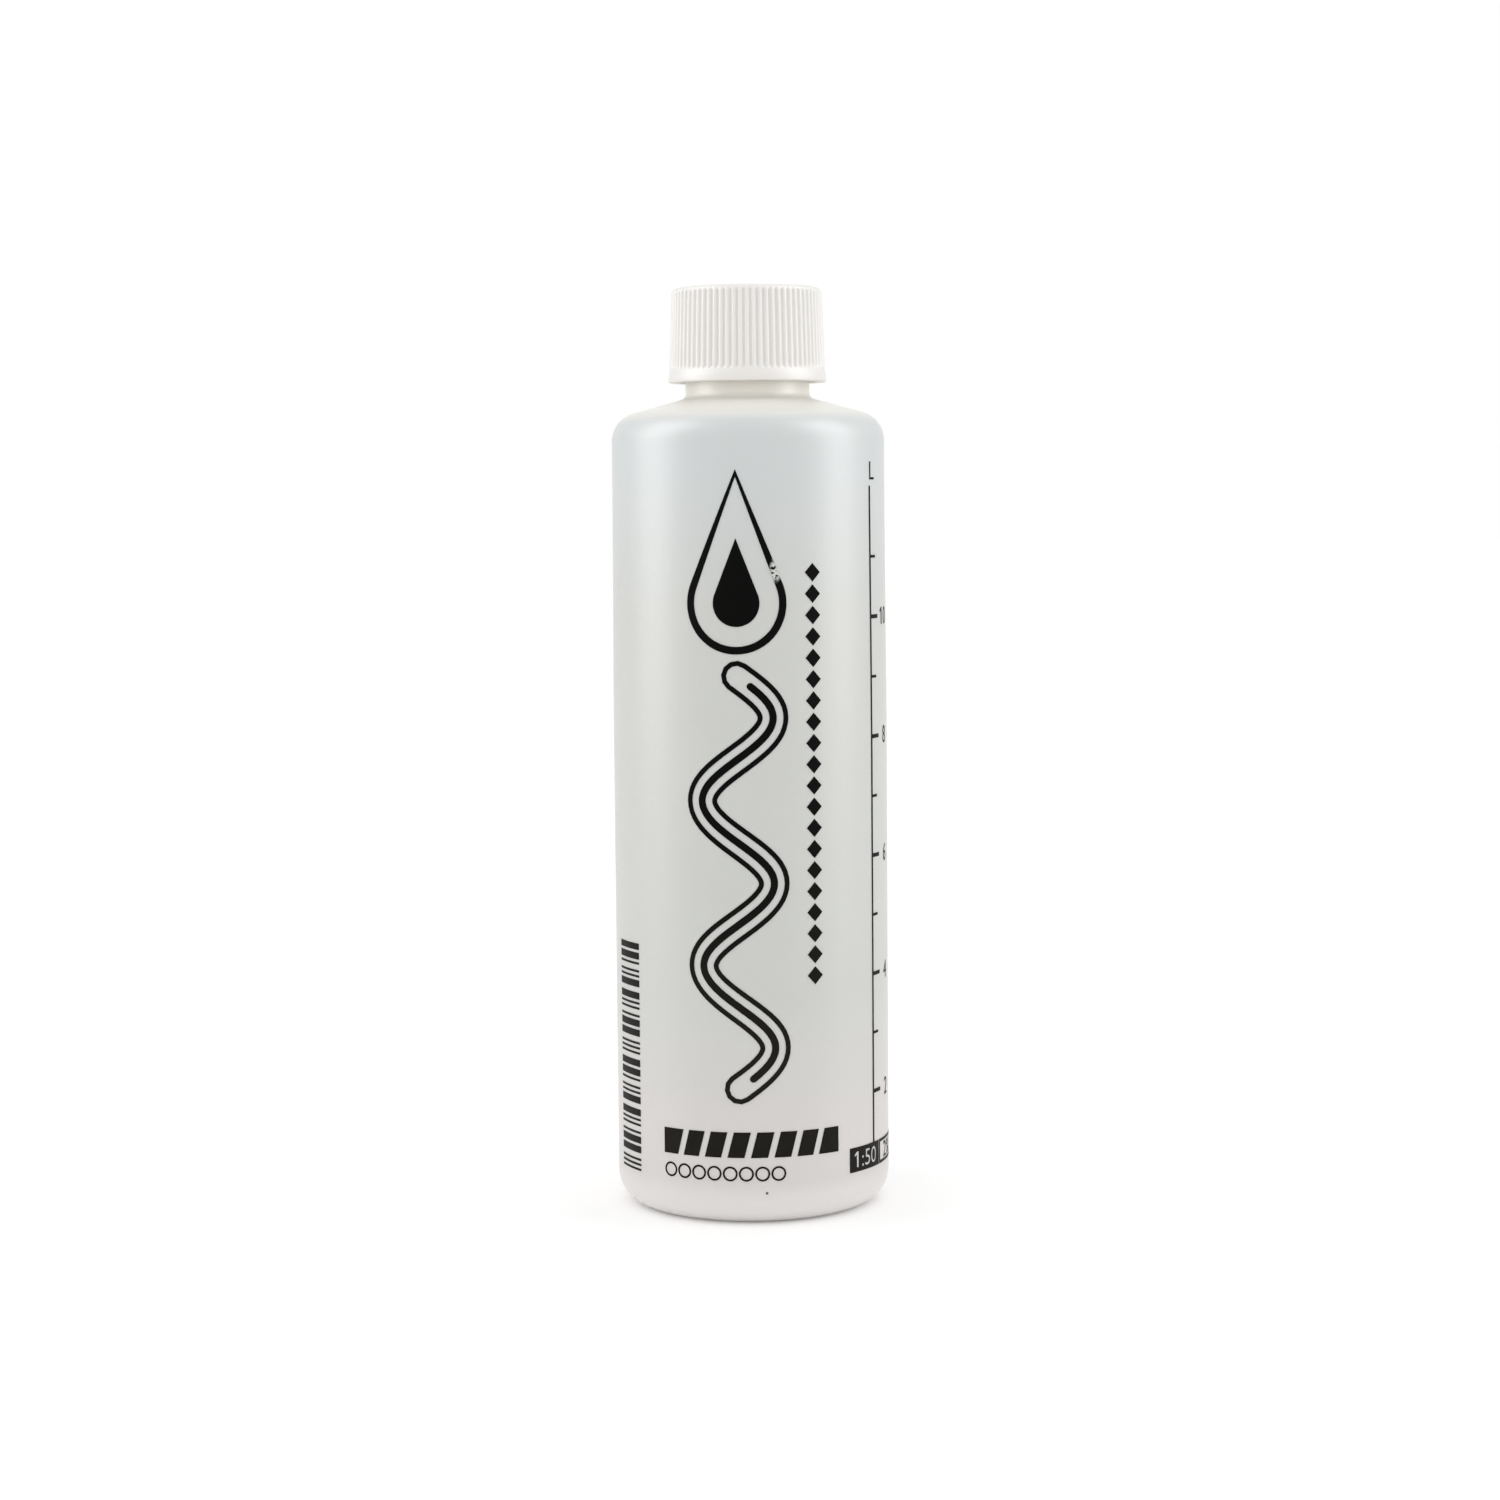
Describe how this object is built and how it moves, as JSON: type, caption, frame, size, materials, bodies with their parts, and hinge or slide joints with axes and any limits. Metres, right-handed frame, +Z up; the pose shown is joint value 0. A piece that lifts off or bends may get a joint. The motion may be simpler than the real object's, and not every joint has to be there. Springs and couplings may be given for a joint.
{
  "type": "oil measuring bottle",
  "caption": "Round blow-moulded bottle with a printed filling scale for measuring oil, closed by a white ribbed screw cap with a sealing disc.",
  "frame": {"origin": "on the floor under the middle of the base", "axes": "+Z up along the bottle's axis, -Y towards the printed front, +X to the right seen from the front"},
  "size_m": [0.0501, 0.0502, 0.1672],
  "materials": {
    "natural_plastic": "natural translucent polyethylene, satin",
    "white_plastic": "white polypropylene, satin",
    "liner_foam": "white polyethylene foam, matt",
    "black_ink": "black screen print"
  },
  "bodies": {
    "bottle": {"bottle": "natural_plastic", "scale_50_line": "black_ink", "scale_50_figure_2_1": "black_ink", "scale_50_figure_4_1": "black_ink", "scale_50_figure_6_1": "black_ink", "scale_50_figure_8_1": "black_ink", "scale_50_figure_10_1": "black_ink", "scale_50_figure_10_2": "black_ink", "scale_50_unit": "black_ink", "scale_25_line": "black_ink", "scale_25_figure_1_1": "black_ink", "scale_25_figure_2_1": "black_ink", "scale_25_figure_3_1": "black_ink", "scale_25_figure_4_1": "black_ink", "scale_25_figure_5_1": "black_ink", "scale_25_unit": "black_ink", "ratio_50": "black_ink", "percent_50_frame": "black_ink", "percent_50_sign_1": "black_ink", "percent_50_sign_2": "black_ink", "percent_50_sign_3": "black_ink", "percent_50_sign_4": "black_ink", "ratio_25": "black_ink", "percent_25_frame": "black_ink", "percent_25_sign_1": "black_ink", "percent_25_sign_2": "black_ink", "percent_25_sign_3": "black_ink", "percent_25_sign_4": "black_ink", "bar_field": "black_ink", "drop_outline": "black_ink", "drop_core": "black_ink", "wave_outline": "black_ink", "wave_core": "black_ink", "diamond_chain": "black_ink", "slanted_band": "black_ink", "ring_chain": "black_ink"},
    "cap_liner": {"cap_liner": "liner_foam"},
    "screw_cap": {"screw_cap": "white_plastic"}
  },
  "joints": [
    {"name": "cap_rise", "type": "slide", "parent": "bottle", "child": "cap_liner", "axis": [0, 0, 1], "range_m": [0, 0.0256]},
    {"name": "cap_turn", "type": "hinge", "parent": "cap_liner", "child": "screw_cap", "pos_m": [0, 0, 0.158], "axis": [0, 0, 1], "range_deg": [0, 2880]}
  ],
  "couplings": [
    {"joint": "cap_rise", "follows": "cap_turn", "m_per_rad": 0.00050532}
  ]
}
